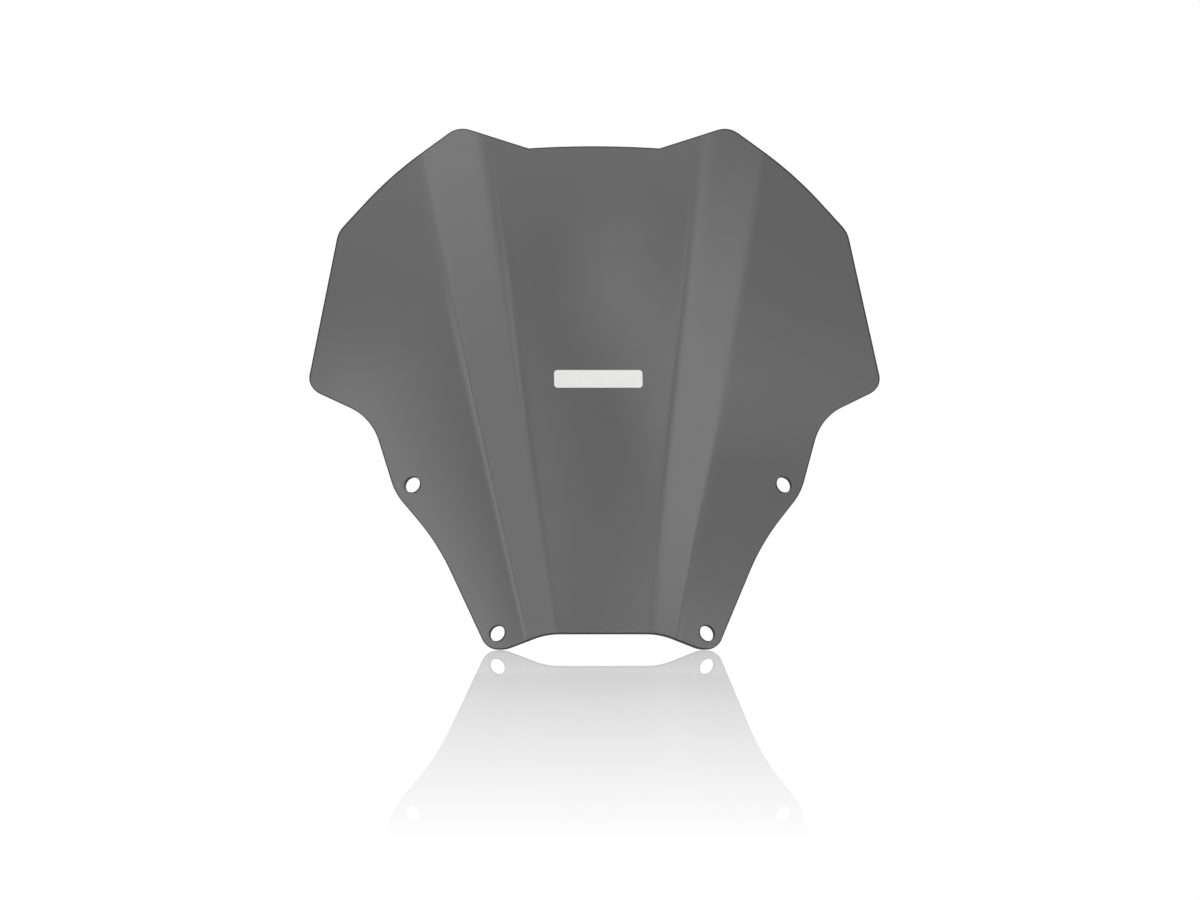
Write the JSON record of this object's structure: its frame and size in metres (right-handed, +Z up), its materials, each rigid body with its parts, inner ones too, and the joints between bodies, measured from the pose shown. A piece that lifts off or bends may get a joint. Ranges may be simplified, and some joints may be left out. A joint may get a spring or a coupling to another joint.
{
  "type": "motorcycle windshield screen",
  "caption": "Formed smoked windshield screen for a motorcycle: leans back, two soft ridges beside a shallow channel, swept wings, eared top edge, fixing holes at its feet and sides.",
  "frame": {"origin": "middle of the bounding box, at the level of the feet's lowest edge", "axes": "X across the screen, -Y the way its front faces (forward on the motorcycle), +Z up as it stands on its feet"},
  "size_m": [0.4208, 0.1782, 0.3832],
  "materials": {
    "smoked_sheet": "high gloss, see-through smoked grey",
    "label_vinyl": "satin white"
  },
  "bodies": {
    "root": {"screen": "smoked_sheet", "label": "label_vinyl"}
  },
  "joints": []
}
